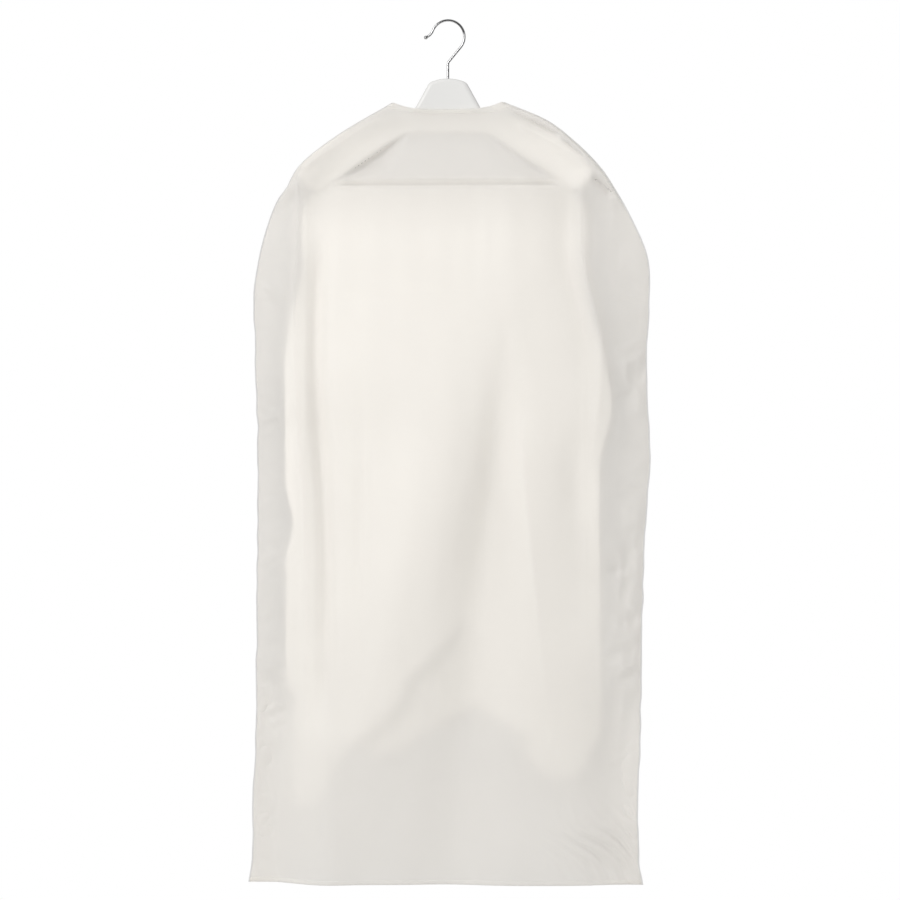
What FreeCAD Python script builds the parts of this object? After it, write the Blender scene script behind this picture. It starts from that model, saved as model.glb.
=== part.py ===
import FreeCAD, Part
import math
import os
import Sketcher

# A translucent film garment cover on a lacquered wooden hanger, hung from a rail.
# Millimetres. +Z is up, +X runs along the hanger and +Y points to the cover's back.
# The origin is the highest point inside the hook, where it sits on the rail.
# A "depth" in the sheet is a distance down from that point.

SIZES = [
    # hook, bent from one wire
    ("hook_wire", 3.2, "wire diameter"),
    ("hook_radius", 22.2, "radius of the wire's centre line in the round part"),
    ("hook_open_angle", 22, "how far above the centre the open side ends, degrees"),
    ("hook_close_angle", 39.5, "how far below the centre the closed side ends, degrees"),
    ("flare_radius", 16, "outward curl at the open end"),
    ("flare_angle", 48, "turn of that curl, degrees"),
    ("ball_diameter", 5, "rounded tip of the wire"),
    ("bend_radius", 6, "centre-line radius of that turn"),
    ("shank_end_depth", 132.4, "lower end of the shank"),
    # hanger, front outline
    ("hub_corner_reach", 25, "half width of the hub's crown"),
    ("hub_corner_depth", 82.5, "depth of the crown's corners"),
    ("crown_radius", 60, "curve of the crown"),
    ("hub_foot_reach", 46, "half width of the hub where the arms leave it"),
    ("hub_foot_depth", 120.5, "depth of that foot"),
    ("shoulder_radius", 232, "curve of the arm's upper edge"),
    ("tip_corner_reach", 180.5, "lower corner of the arm's end before rounding"),
    ("tip_corner_depth", 236, "depth of that corner"),
    ("arm_slope", 34.6, "fall of the arm's lower edge, degrees"),
    ("arm_height", 38, "height of the arm at its end"),
    ("underside_depth", 151.6, "flat underside at the middle"),
    ("crown_rounding", 10, "rounding of the crown's corners"),
    ("foot_rounding", 12, "hollow between hub and arm"),
    ("tip_rounding", 18.8, "rounding of the arm's end"),
    ("underside_rounding", 45, "bend between underside and arm"),
    ("edge_rounding", 5, "softened front and back edges of the wood"),
    # hanger, seen from above
    ("wood_stock", 144, "thickness of the blank before its faces are cut"),
    ("hub_thickness", 18, "wood thickness at the middle"),
    ("front_bow", 608, "radius of the front face, which curls forward at the ends"),
    ("back_bow", 786, "radius of the back face"),
    # swivel
    ("shank_play", 0.05, "radial play of the shank in the wood"),
    ("pocket_diameter", 12, "recess in the underside for washer and nut"),
    ("pocket_height", 24, "height of that recess"),
    ("washer_diameter", 10, "swivel washer"),
    ("washer_thickness", 1, "swivel washer"),
    ("swivel_gap", 0.2, "end play between washer and nut"),
    ("nut_flats", 5.5, "nut width across flats"),
    ("nut_height", 2.4, "nut height"),
    # trouser bar and its two brads
    ("bar_diameter", 10, "bar"),
    ("bar_length", 350, "bar, with both ends let into the arms"),
    ("bar_depth", 218, "bar axis"),
    ("bar_forward", 21, "bar axis, forward of the hook"),
    ("bar_end_rounding", 1, "softened rims of the bar's ends"),
    ("bar_play", 0.1, "radial play in the arms' blind holes"),
    ("brad_diameter", 2, "brad through each bar end"),
    ("brad_length", 16, "brad"),
    ("brad_reach", 165, "brad position along the bar"),
    ("brad_top_depth", 205, "point of the brad"),
    ("brad_point", 2, "length of the brad's point"),
    # light cloth folded over the bar
    ("cloth_thickness", 1, "cloth"),
    ("cloth_gap", 0.3, "room between cloth and bar"),
    ("cloth_bunched_reach", 144, "half width where it is bunched between the arms"),
    ("cloth_bunched_depth", 233, "where it starts to spread below the arms"),
    ("cloth_spread_reach", 188, "half width just under the arms"),
    ("cloth_spread_depth", 250, "depth of that width"),
    ("cloth_wide_reach", 205, "largest half width"),
    ("cloth_wide_depth", 520, "depth of the largest width"),
    ("cloth_stock_reach", 256, "half width of the cloth before its sides are trimmed"),
    ("cloth_trim_reach", 308, "how far out the trimmed region goes"),
    ("cloth_trim_room", 80, "how far front to back the trimmed region goes"),
    ("cloth_front_depth", 930, "end of the front fold"),
    ("cloth_back_depth", 968, "end of the back fold"),
    # cover outline, front view
    ("dome_radius", 280.5, "radius of each shoulder"),
    ("dome_offset", 13.5, "each shoulder's centre lies this far past the middle"),
    ("dome_centre_depth", 375, "depth of the shoulder centres"),
    ("neck_depth", 109, "depth of the neck corners"),
    ("neck_sag", 10, "dip of the neck edge between its corners"),
    ("neck_sag_radius", 290, "curve of the neck edge"),
    ("waist_reach", 260, "half width at the waist"),
    ("waist_depth", 846, "depth of the waist"),
    ("hem_reach", 263.5, "half width at the bottom edge"),
    ("hem_depth", 1159, "bottom edge"),
    # cover, front to back
    ("neck_bulge", 19, "film in front of and behind the seam at the neck"),
    ("tip_bulge", 55, "the same beside the arm ends"),
    ("front_bulge", 48, "front film below the shoulders"),
    ("back_bulge", 55, "back film below the shoulders"),
    ("tip_depth", 205, "depth of the arm ends"),
    ("seam_forward_tip", 27, "side seam forward of the hook, at the arm ends"),
    ("seam_forward_side", 20, "the same under the shoulders"),
    ("seam_forward_hem", 16, "the same at the bottom edge"),
    # film
    ("film", 0.8, "stand-in wall for the thin film"),
    ("film_gap", 0.5, "room between neighbouring film pieces"),
    ("seam_width", 2.4, "welded side seam"),
    ("seam_thickness", 2.4, "welded side seam"),
    ("hem_width", 6, "turned-in hem along the neck and the bottom"),
]

MEASURE = "dims"
HEXAGON = 6
NEAR_CORNER = 0.5
ON_FACE = 0.01
UPRIGHT = 0.999

doc = FreeCAD.newDocument("garment_cover")
dims = doc.addObject("Spreadsheet::Sheet", MEASURE)
for row, (alias, size, note) in enumerate(SIZES, start=1):
    dims.set(f"A{row}", note)
    dims.set(f"B{row}", str(size))
    dims.setAlias(f"B{row}", alias)
doc.recompute()


def size(alias):
    return float(getattr(dims, alias))


def bound(text):
    """An expression with each @name replaced by the sheet's cell."""
    return text.replace("@", MEASURE + ".")


def bind(thing, **properties):
    for name, text in properties.items():
        thing.setExpression(name, bound(text))


# --- bodies, sketches and features -------------------------------------------------------------

def new_body(name):
    body = doc.addObject("PartDesign::Body", name)
    body.Label = name
    return body


def new_sketch(body, name, role, height=None):
    """A sketch on one of the body's origin planes, raised or lowered along its normal."""
    sketch = body.newObject("Sketcher::SketchObject", name)
    plane = next(feature for feature in body.Origin.OriginFeatures if feature.Role == role)
    sketch.AttachmentSupport = (plane, [""])
    sketch.MapMode = "FlatFace"
    if height:
        sketch.setExpression(".AttachmentOffset.Base.z", bound(height))
    return sketch


def constrain(sketch, kind, *items, to=None):
    index = sketch.addConstraint(Sketcher.Constraint(kind, *items))
    if to:
        sketch.setExpression(f"Constraints[{index}]", bound(to))
    return index


def place(sketch, edge, end, right=None, left=None, above=None, below=None):
    """Holds one end of an edge at bound distances from the sketch's origin."""
    origin = (-1, 1)
    point = (edge, end)
    where = sketch.getPoint(edge, end)
    if right:
        constrain(sketch, "DistanceX", *origin, *point, where.x, to=right)
    if left:
        constrain(sketch, "DistanceX", *point, *origin, -where.x, to=left)
    if above:
        constrain(sketch, "DistanceY", *origin, *point, where.y, to=above)
    if below:
        constrain(sketch, "DistanceY", *point, *origin, -where.y, to=below)


def line(start, end):
    return Part.LineSegment(FreeCAD.Vector(*start, 0), FreeCAD.Vector(*end, 0))


def arc_between(start, end, radius, bulge):
    """An arc of the given radius whose middle lies to the left (bulge 1) or right (-1) of start-end."""
    a = FreeCAD.Vector(*start, 0)
    b = FreeCAD.Vector(*end, 0)
    chord = b - a
    half = chord.Length / 2
    sagitta = radius - math.sqrt(radius ** 2 - half ** 2)
    side = FreeCAD.Vector(-chord.y, chord.x, 0).normalize() * (sagitta * bulge)
    return Part.Arc(a, (a + b) * 0.5 + side, b)


def arc_ends(sketch, edge, start):
    """The arc's end numbers in the order (near start, far from start): a sketch arc may be reversed."""
    near = (sketch.getPoint(edge, 1) - FreeCAD.Vector(*start, 0)).Length
    far = (sketch.getPoint(edge, 2) - FreeCAD.Vector(*start, 0)).Length
    return (1, 2) if near < far else (2, 1)


def chain(sketch, edges, closed=True, joint="Coincident"):
    """Adds edges end to end and joins them; returns each edge's (start, end) point numbers."""
    ends = []
    for geometry in edges:
        start = geometry.StartPoint
        index = sketch.addGeometry(geometry, False)
        ends.append(arc_ends(sketch, index, (start.x, start.y)))
    last = len(edges) if closed else len(edges) - 1
    first = sketch.GeometryCount - len(edges)
    for i in range(last):
        j = (i + 1) % len(edges)
        constrain(sketch, joint, first + i, ends[i][1], first + j, ends[j][0])
    return ends


def circle(sketch, radius, right=None, left=None, above=None, below=None, centre=(0, 0)):
    index = sketch.addGeometry(Part.Circle(FreeCAD.Vector(*centre, 0), FreeCAD.Vector(0, 0, 1), 1))
    constrain(sketch, "Radius", index, 1, to=radius)
    if right or left:
        place(sketch, index, 3, right=right, left=left)
    else:
        constrain(sketch, "PointOnObject", index, 3, -2)
    if above or below:
        place(sketch, index, 3, above=above, below=below)
    else:
        constrain(sketch, "PointOnObject", index, 3, -1)
    return index


def add(body, kind, name, sketch, **settings):
    """Adds a feature made from a sketch; text settings are bound, the rest are set as they are."""
    before = body.Shape.Volume if body.Tip else 0
    feature = body.newObject(f"PartDesign::{kind}", name)
    feature.Profile = sketch
    for key, setting in settings.items():
        if isinstance(setting, str) and "@" in setting:
            feature.setExpression(key, bound(setting))
        else:
            setattr(feature, key, setting)
    doc.recompute()
    grows = kind in ("Pad", "Revolution", "AdditivePipe", "AdditiveLoft")
    change = feature.Shape.Volume - before
    if (change > 0) != grows or change == 0:
        raise RuntimeError(f"{name} changed the volume by {change:.3f}")
    return feature


def round_edges(body, name, wanted, radius):
    """Fillets every edge of the body's tip for which wanted(edge) is true."""
    base = body.Tip
    names = [f"Edge{i}" for i, edge in enumerate(base.Shape.Edges, start=1) if wanted(edge)]
    if not names:
        raise RuntimeError(f"{name} found no edges")
    fillet = body.newObject("PartDesign::Fillet", name)
    fillet.Base = (base, names)
    bind(fillet, Radius=radius)
    doc.recompute()
    return fillet


# --- hook --------------------------------------------------------------------------------------

def make_hook():
    body = new_body("hook")
    spine = new_sketch(body, "hook_spine", "XZ_Plane")
    radius = size("hook_radius")
    centre_y = size("hook_wire") / 2 - radius
    opening = math.radians(180 - size("hook_open_angle"))
    closing = -math.radians(size("hook_close_angle"))
    flare = size("flare_radius")
    turn = math.radians(size("flare_angle"))
    bend = size("bend_radius")

    def on_circle(centre, length, angle):
        return (centre[0] + length * math.cos(angle), centre[1] + length * math.sin(angle))

    centre = (0, centre_y)
    open_end = on_circle(centre, radius, opening)
    top = on_circle(centre, radius, math.pi / 2)
    close_end = on_circle(centre, radius, closing)
    flare_centre = on_circle(centre, radius + flare, opening)
    flare_start = opening + math.pi
    tip = on_circle(flare_centre, flare, flare_start - turn)
    flare_mid = on_circle(flare_centre, flare, flare_start - turn / 2)
    slant = math.pi / 2 + closing
    bend_length = bend * math.tan((math.pi / 2 - slant) / 2)
    corner = (0, centre_y - radius / math.sin(-closing))
    bend_in = on_circle(corner, bend_length, slant)
    bend_out = (0, corner[1] - bend_length)
    bottom = (0, -size("shank_end_depth"))

    def arc(*points):
        return Part.Arc(*(FreeCAD.Vector(*point, 0) for point in points))

    ends = chain(spine, [
        arc(tip, flare_mid, open_end),
        arc(open_end, top, close_end),
        line(close_end, bend_in),
        arc_between(bend_in, bend_out, bend, -1),
        line(bend_out, bottom),
    ], closed=False, joint="Tangent")
    curl, ring, slope, elbow, shank = range(5)
    constrain(spine, "PointOnObject", ring, 3, -2)
    place(spine, ring, 3, below="@hook_radius - @hook_wire / 2")
    constrain(spine, "Radius", ring, radius, to="@hook_radius")
    constrain(spine, "Radius", curl, flare, to="@flare_radius")
    constrain(spine, "Radius", elbow, bend, to="@bend_radius")
    place(spine, ring, ends[ring][0], left="@hook_radius * cos(@hook_open_angle * 1 deg)")
    place(spine, curl, ends[curl][0], left=(
        "(@hook_radius + @flare_radius) * cos(@hook_open_angle * 1 deg)"
        " - @flare_radius * cos((@hook_open_angle + @flare_angle) * 1 deg)"
    ))
    constrain(spine, "PointOnObject", shank, 1, -2)
    constrain(spine, "Vertical", shank)
    place(spine, ring, ends[ring][1], right="@hook_radius * cos(@hook_close_angle * 1 deg)")
    place(spine, shank, 2, below="@shank_end_depth")

    section = new_sketch(body, "wire_section", "XY_Plane", "-@shank_end_depth")
    circle(section, "@hook_wire / 2")
    doc.recompute()
    add(body, "AdditivePipe", "bent_wire", section, Spine=(spine, [""]), Mode="Frenet")
    ball = body.newObject("PartDesign::AdditiveSphere", "tip_ball")
    bind(ball, Radius="@ball_diameter / 2")
    ball.Placement.Base = FreeCAD.Vector(tip[0], 0, tip[1])
    doc.recompute()
    return body


# --- hanger ------------------------------------------------------------------------------------

def hanger_outline(body):
    """Front outline of the wood as a polygon with curved crown and shoulders, corners still sharp."""
    sketch = new_sketch(body, "front_outline", "XZ_Plane")
    slope = math.radians(size("arm_slope"))
    crown = (size("hub_corner_reach"), -size("hub_corner_depth"))
    foot = (size("hub_foot_reach"), -size("hub_foot_depth"))
    low = (size("tip_corner_reach"), -size("tip_corner_depth"))
    high = (low[0] + size("arm_height") * math.sin(slope), low[1] + size("arm_height") * math.cos(slope))
    rise = -size("underside_depth") - low[1]
    knee = (low[0] - rise / math.tan(slope), -size("underside_depth"))
    right = [crown, foot, high, low, knee]
    left = [(-x, y) for x, y in right]
    shoulder = size("shoulder_radius")
    chain(sketch, [
        arc_between(left[0], right[0], size("crown_radius"), 1),
        line(right[0], right[1]),
        arc_between(right[1], right[2], shoulder, 1),
        line(right[2], right[3]),
        line(right[3], right[4]),
        line(right[4], left[4]),
        line(left[4], left[3]),
        line(left[3], left[2]),
        arc_between(left[2], left[1], shoulder, 1),
        line(left[1], left[0]),
    ])
    top, flank, shoulder_right, end, under, flat = range(6)
    end_left, shoulder_left, flank_left = range(7, 10)
    mirror_pairs = [(flank, 1, flank_left, 2), (flank, 2, flank_left, 1), (end, 1, end_left, 2),
                    (end, 2, end_left, 1), (flat, 1, flat, 2)]
    for one, one_end, other, other_end in mirror_pairs:
        constrain(sketch, "Symmetric", one, one_end, other, other_end, -2)
    constrain(sketch, "Radius", top, size("crown_radius"), to="@crown_radius")
    constrain(sketch, "Radius", shoulder_right, shoulder, to="@shoulder_radius")
    constrain(sketch, "Radius", shoulder_left, shoulder, to="@shoulder_radius")
    place(sketch, flank, 1, right="@hub_corner_reach", below="@hub_corner_depth")
    place(sketch, flank, 2, right="@hub_foot_reach", below="@hub_foot_depth")
    place(sketch, end, 2, right="@tip_corner_reach", below="@tip_corner_depth")
    place(sketch, end, 1, right="@tip_corner_reach + @arm_height * sin(@arm_slope * 1 deg)",
          below="@tip_corner_depth - @arm_height * cos(@arm_slope * 1 deg)")
    constrain(sketch, "Perpendicular", end, under)
    place(sketch, flat, 1, below="@underside_depth")
    return sketch


def plan_waste(body, name, bow, offset, outside):
    """Region seen from above that is cut away beyond a bowed face; outside is 1 behind, -1 in front."""
    sketch = new_sketch(body, name, "XY_Plane")
    reach = size("tip_corner_reach") + size("arm_height")
    radius = size(bow)
    centre_y = outside * offset - radius
    edge_y = centre_y + math.sqrt(radius ** 2 - reach ** 2)
    limit_y = outside * size("wood_stock") / 2
    chain(sketch, [
        Part.Arc(*(FreeCAD.Vector(*point, 0) for point in
                   ((-reach, edge_y), (0, outside * offset), (reach, edge_y)))),
        line((reach, edge_y), (reach, limit_y)),
        line((reach, limit_y), (-reach, limit_y)),
        line((-reach, limit_y), (-reach, edge_y)),
    ])
    face, side, back, other_side = range(4)
    constrain(sketch, "Radius", face, radius, to=f"@{bow}")
    constrain(sketch, "PointOnObject", face, 3, -2)
    sign = "-" if outside > 0 else "+"
    place(sketch, face, 3, below=f"@{bow} {sign} @hub_thickness / 2")
    constrain(sketch, "Vertical", side)
    constrain(sketch, "Vertical", other_side)
    constrain(sketch, "Horizontal", back)
    place(sketch, side, 1, right="@tip_corner_reach + @arm_height")
    place(sketch, other_side, 2, left="@tip_corner_reach + @arm_height")
    limit = "above" if outside > 0 else "below"
    place(sketch, side, 2, **{limit: "@wood_stock / 2"})
    doc.recompute()
    return sketch


def gap_to_bowed_face(point):
    """How far a point lies from the nearer of the hanger's two bowed faces, front to back."""
    half = size("hub_thickness") / 2
    front_y = -half - size("front_bow") + math.sqrt(size("front_bow") ** 2 - point.x ** 2)
    back_y = half - size("back_bow") + math.sqrt(size("back_bow") ** 2 - point.x ** 2)
    return min(abs(point.y - front_y), abs(point.y - back_y))


def make_hanger():
    body = new_body("hanger_body")
    outline = hanger_outline(body)
    add(body, "Pad", "blank", outline, SideType="Symmetric", Length="@wood_stock")
    half = size("hub_thickness") / 2
    corners = [
        ("crown_corners", "crown_rounding", size("hub_corner_reach"), size("hub_corner_depth")),
        ("hub_feet", "foot_rounding", size("hub_foot_reach"), size("hub_foot_depth")),
        ("underside_bends", "underside_rounding", None, size("underside_depth")),
        ("arm_tips", "tip_rounding", size("tip_corner_reach"), None),
    ]
    across = FreeCAD.Vector(0, 1, 0)
    for name, rounding, reach, depth in corners:

        def wanted(edge):
            if edge.Curve.TypeId != "Part::GeomLine" or abs(edge.Curve.Direction.dot(across)) < UPRIGHT:
                return False
            x, z = abs(edge.Vertexes[0].X), -edge.Vertexes[0].Z
            if reach is None:
                return abs(z - depth) < NEAR_CORNER
            if depth is None:
                return x > reach - NEAR_CORNER
            return abs(x - reach) < NEAR_CORNER and abs(z - depth) < NEAR_CORNER

        round_edges(body, name, wanted, f"@{rounding}")
    front = plan_waste(body, "front_waste", "front_bow", half, -1)
    back = plan_waste(body, "back_waste", "back_bow", half, 1)
    add(body, "Pocket", "front_face", front, Type="ThroughAll")
    add(body, "Pocket", "back_face", back, Type="ThroughAll")

    def on_bowed_face(edge):
        middle = edge.valueAt((edge.FirstParameter + edge.LastParameter) / 2)
        points = [corner.Point for corner in edge.Vertexes] + [middle]
        return all(gap_to_bowed_face(point) < ON_FACE for point in points)

    round_edges(body, "soft_edges", on_bowed_face, "@edge_rounding")

    bore = new_sketch(body, "shank_bore_outline", "XY_Plane")
    circle(bore, "@hook_wire / 2 + @shank_play")
    add(body, "Pocket", "shank_bore", bore, Type="ThroughAll")
    recess = new_sketch(body, "nut_recess_outline", "XY_Plane", "-@underside_depth + @pocket_height")
    circle(recess, "@pocket_diameter / 2")
    add(body, "Pocket", "nut_recess", recess, Type="ThroughAll")
    socket = new_sketch(body, "bar_socket_outline", "YZ_Plane")
    circle(socket, "@bar_diameter / 2 + @bar_play", left="@bar_forward", below="@bar_depth",
           centre=(-size("bar_forward"), -size("bar_depth")))
    add(body, "Pocket", "bar_sockets", socket, SideType="Symmetric", Length="@bar_length + 2 * @bar_play")
    brads = new_sketch(body, "brad_hole_outline", "XY_Plane", "-@brad_top_depth")
    for side in ("left", "right"):
        sign = -1 if side == "left" else 1
        circle(brads, "@brad_diameter / 2 + @shank_play", below="@bar_forward",
               centre=(sign * size("brad_reach"), -size("bar_forward")), **{side: "@brad_reach"})
    add(body, "Pocket", "brad_holes", brads, Type="ThroughAll")
    return body


# --- swivel hardware ---------------------------------------------------------------------------

def make_washer():
    body = new_body("swivel_washer")
    ring = new_sketch(body, "washer_outline", "XY_Plane", "-@underside_depth + @pocket_height - @washer_thickness")
    circle(ring, "@washer_diameter / 2")
    circle(ring, "@hook_wire / 2 + @shank_play")
    add(body, "Pad", "washer_blank", ring, Length="@washer_thickness")
    return body


def make_nut():
    blank = doc.addObject("Part::Prism", "nut_blank")
    blank.Polygon = HEXAGON
    bind(blank, Circumradius="@nut_flats / 2 / cos(30 deg)", Height="@nut_height")
    hole = doc.addObject("Part::Cylinder", "nut_hole")
    bind(hole, Radius="@hook_wire / 2 + @shank_play / 2", Height="@nut_height")
    nut = doc.addObject("Part::Cut", "hook_nut")
    nut.Base = blank
    nut.Tool = hole
    nut.Label = "hook_nut"
    nut.setExpression(".Placement.Base.z", bound(
        "-@underside_depth + @pocket_height - @washer_thickness - @swivel_gap - @nut_height"))
    return nut


# --- trouser bar and brads ---------------------------------------------------------------------

def make_bar():
    body = new_body("trouser_bar")
    section = new_sketch(body, "bar_section", "YZ_Plane")
    circle(section, "@bar_diameter / 2", left="@bar_forward", below="@bar_depth",
           centre=(-size("bar_forward"), -size("bar_depth")))
    add(body, "Pad", "dowel", section, SideType="Symmetric", Length="@bar_length")
    round_edges(body, "dowel_ends", lambda edge: edge.Curve.TypeId == "Part::GeomCircle", "@bar_end_rounding")
    holes = new_sketch(body, "brad_bores", "XY_Plane")
    for side in ("left", "right"):
        sign = -1 if side == "left" else 1
        circle(holes, "@brad_diameter / 2 + @shank_play", below="@bar_forward",
               centre=(sign * size("brad_reach"), -size("bar_forward")), **{side: "@brad_reach"})
    add(body, "Pocket", "brad_bore", holes, Type="ThroughAll")
    return body


def make_brads():
    brads = []
    for side, sign in (("left", "-"), ("right", "")):
        stem = doc.addObject("Part::Cylinder", f"{side}_brad_stem")
        bind(stem, Radius="@brad_diameter / 2", Height="@brad_length - @brad_point")
        point = doc.addObject("Part::Cone", f"{side}_brad_point")
        bind(point, Radius1="@brad_diameter / 2", Radius2="@brad_diameter / 10", Height="@brad_point")
        point.setExpression(".Placement.Base.z", bound("@brad_length - @brad_point"))
        brad = doc.addObject("Part::Fuse", f"{side}_brad")
        brad.Base = stem
        brad.Tool = point
        brad.setExpression(".Placement.Base.x", bound(f"{sign}@brad_reach"))
        brad.setExpression(".Placement.Base.y", bound("-@bar_forward"))
        brad.setExpression(".Placement.Base.z", bound("-@brad_top_depth - @brad_length"))
        brads.append(brad)
    pair = doc.addObject("Part::Compound", "bar_pins")
    pair.Links = brads
    pair.Label = "bar_pins"
    return pair


# --- cloth over the bar ------------------------------------------------------------------------

def make_cloth():
    """A cloth hung over the bar, cut from a solid block: outline first, then the room inside its fold."""
    body = new_body("hanging_sheet")
    outer_radius = size("bar_diameter") / 2 + size("cloth_gap") + size("cloth_thickness")
    inner_radius = outer_radius - size("cloth_thickness")
    axis = (-size("bar_forward"), -size("bar_depth"))
    front_end = -size("cloth_front_depth")
    back_end = -size("cloth_back_depth")

    fold = new_sketch(body, "fold_section", "YZ_Plane")
    y_front, y_back = axis[0] - outer_radius, axis[0] + outer_radius
    y_front_in, y_back_in = axis[0] - inner_radius, axis[0] + inner_radius

    def over(radius, backwards):
        points = [(axis[0] - radius, axis[1]), (axis[0], axis[1] + radius), (axis[0] + radius, axis[1])]
        ordered = reversed(points) if backwards else points
        return Part.Arc(*(FreeCAD.Vector(*point, 0) for point in ordered))

    chain(fold, [
        line((y_front, front_end), (y_front, axis[1])),
        over(outer_radius, False),
        line((y_back, axis[1]), (y_back, back_end)),
        line((y_back, back_end), (y_back_in, back_end)),
        line((y_back_in, back_end), (y_back_in, axis[1])),
        over(inner_radius, True),
        line((y_front_in, axis[1]), (y_front_in, front_end)),
        line((y_front_in, front_end), (y_front, front_end)),
    ])
    front, outer_arc, back, back_hem, back_in, inner_arc, front_in, front_hem = range(8)
    for edge in (front, back, back_in, front_in):
        constrain(fold, "Vertical", edge)
    for edge in (front_hem, back_hem):
        constrain(fold, "Horizontal", edge)
    constrain(fold, "Coincident", outer_arc, 3, inner_arc, 3)
    place(fold, outer_arc, 3, left="@bar_forward", below="@bar_depth")
    constrain(fold, "Radius", outer_arc, outer_radius,
              to="@bar_diameter / 2 + @cloth_gap + @cloth_thickness")
    constrain(fold, "Radius", inner_arc, inner_radius, to="@bar_diameter / 2 + @cloth_gap")
    for edge, end in ((front, 2), (back, 1), (back_in, 2), (front_in, 1)):
        constrain(fold, "DistanceY", edge, end, -1, 1, size("bar_depth"), to="@bar_depth")
    place(fold, front, 1, below="@cloth_front_depth")
    place(fold, back, 2, below="@cloth_back_depth")
    doc.recompute()
    add(body, "Pad", "folded_blank", fold, SideType="Symmetric", Length="2 * @cloth_stock_reach")

    reach = size("cloth_trim_reach")
    top = -size("bar_depth") + size("bar_diameter")
    bottom = -size("cloth_back_depth") - size("bar_diameter")
    for side, sign in (("left", -1), ("right", 1)):
        trim = new_sketch(body, f"{side}_edge_trim", "XZ_Plane")
        inside = [(sign * size("cloth_bunched_reach"), top)]
        for name in ("bunched", "spread", "wide"):
            inside.append((sign * size(f"cloth_{name}_reach"), -size(f"cloth_{name}_depth")))
        inside.append((sign * size("cloth_wide_reach"), bottom))
        outline = inside + [(sign * reach, bottom), (sign * reach, top)]
        chain(trim, [line(*pair) for pair in zip(outline, outline[1:] + outline[:1])])
        for index, name in enumerate(["bunched", "bunched", "spread", "wide", "wide"]):
            place(trim, index, 1, **{side: f"@cloth_{name}_reach"})
        for index, name in ((1, "bunched"), (2, "spread"), (3, "wide")):
            place(trim, index, 1, below=f"@cloth_{name}_depth")
        place(trim, 0, 1, below="@bar_depth - @bar_diameter")
        place(trim, 4, 1, below="@cloth_back_depth + @bar_diameter")
        for index in (5, 6):
            place(trim, index, 1, **{side: "@cloth_trim_reach"})
        constrain(trim, "Horizontal", 4)
        constrain(trim, "Horizontal", 6)
        doc.recompute()
        add(body, "Pocket", f"{side}_edge", trim, SideType="Symmetric", Length="@cloth_trim_room")
    return body


# --- film cover --------------------------------------------------------------------------------
# The cover is two films welded along their sides. Each film is a loft through level sections. A
# section's curves leave the seam square, bulge to a flattened middle and meet the other seam square.
# A five-pole curve's middle is (2 ends + 8 sides + 6 middle) / 16, so these put it at the full bulge.

SIDE_FULLNESS = 1.5
MIDDLE_FULLNESS = (8 - 4 * SIDE_FULLNESS) / 3
SHOULDER_STEPS = 8
SIDE_STEPS = 9


def blend(depth, points):
    """Value at a depth, eased between (depth, value) points that are in rising order of depth."""
    for (depth_a, value_a), (depth_b, value_b) in zip(points, points[1:]):
        if depth <= depth_b:
            part = max(0.0, (depth - depth_a) / (depth_b - depth_a))
            eased = part * part * (3 - 2 * part)
            return value_a + (value_b - value_a) * eased
    return points[-1][1]


def half_width(depth, inset):
    """Half width of the cover's front outline, moved inwards by inset."""
    below_centre = depth - size("dome_centre_depth")
    if below_centre < 0:
        return math.sqrt((size("dome_radius") - inset) ** 2 - below_centre ** 2) - size("dome_offset")
    widest = size("dome_radius") - size("dome_offset")
    points = [(size("dome_centre_depth"), widest), (size("waist_depth"), size("waist_reach")),
              (size("hem_depth"), size("hem_reach"))]
    return blend(depth, points) - inset


def seam_y(depth):
    points = [(size("neck_depth"), 0), (size("tip_depth"), -size("seam_forward_tip")),
              (size("dome_centre_depth"), -size("seam_forward_side")),
              (size("hem_depth"), -size("seam_forward_hem"))]
    return blend(depth, points)


def bulge(depth, side):
    full = size("front_bulge") if side < 0 else size("back_bulge")
    points = [(size("neck_depth"), size("neck_bulge")), (size("tip_depth"), size("tip_bulge")),
              (size("dome_centre_depth"), full), (size("hem_depth"), full)]
    return blend(depth, points)


def film_curve(depth, side, inset, gap):
    """One level curve of a film, from its left end to its right end."""
    half = half_width(depth, inset)
    start_y = seam_y(depth) + side * gap
    reach = side * (bulge(depth, side) - inset - gap)
    side_y = start_y + reach * SIDE_FULLNESS
    middle_y = start_y + reach * MIDDLE_FULLNESS
    poles = [(-half, start_y), (-half, side_y), (0, middle_y), (half, side_y), (half, start_y)]
    curve = Part.BezierCurve()
    curve.setPoles([FreeCAD.Vector(x, y, -depth) for x, y in poles])
    return curve.toShape()


def film_section(depth, side, inset, wall):
    gap = size("film_gap") / 2
    outer = film_curve(depth, side, inset, gap)
    inner = film_curve(depth, side, inset + wall, gap)
    right_end = Part.makeLine(outer.Vertexes[-1].Point, inner.Vertexes[-1].Point)
    left_end = Part.makeLine(inner.Vertexes[0].Point, outer.Vertexes[0].Point)
    return Part.Wire([outer, right_end, inner, left_end])


def shoulder_depths():
    """Depths at equal turns around the shoulder, from the neck to its widest point."""
    rise = size("dome_centre_depth") - size("neck_depth")
    start = math.asin(rise / size("dome_radius"))
    angles = [start * (1 - step / SHOULDER_STEPS) for step in range(SHOULDER_STEPS + 1)]
    return [size("dome_centre_depth") - size("dome_radius") * math.sin(angle) for angle in angles]


def station_depths():
    """Depths of all level sections, from the neck to the bottom edge."""
    start, end = size("dome_centre_depth"), size("hem_depth")
    sides = [start + (end - start) * step / SIDE_STEPS for step in range(1, SIDE_STEPS + 1)]
    return shoulder_depths() + sides


def film_shell(side, inset, wall, depths):
    sections = [film_section(depth, side, inset, wall) for depth in depths]
    return Part.makeLoft(sections, True, False)


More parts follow.
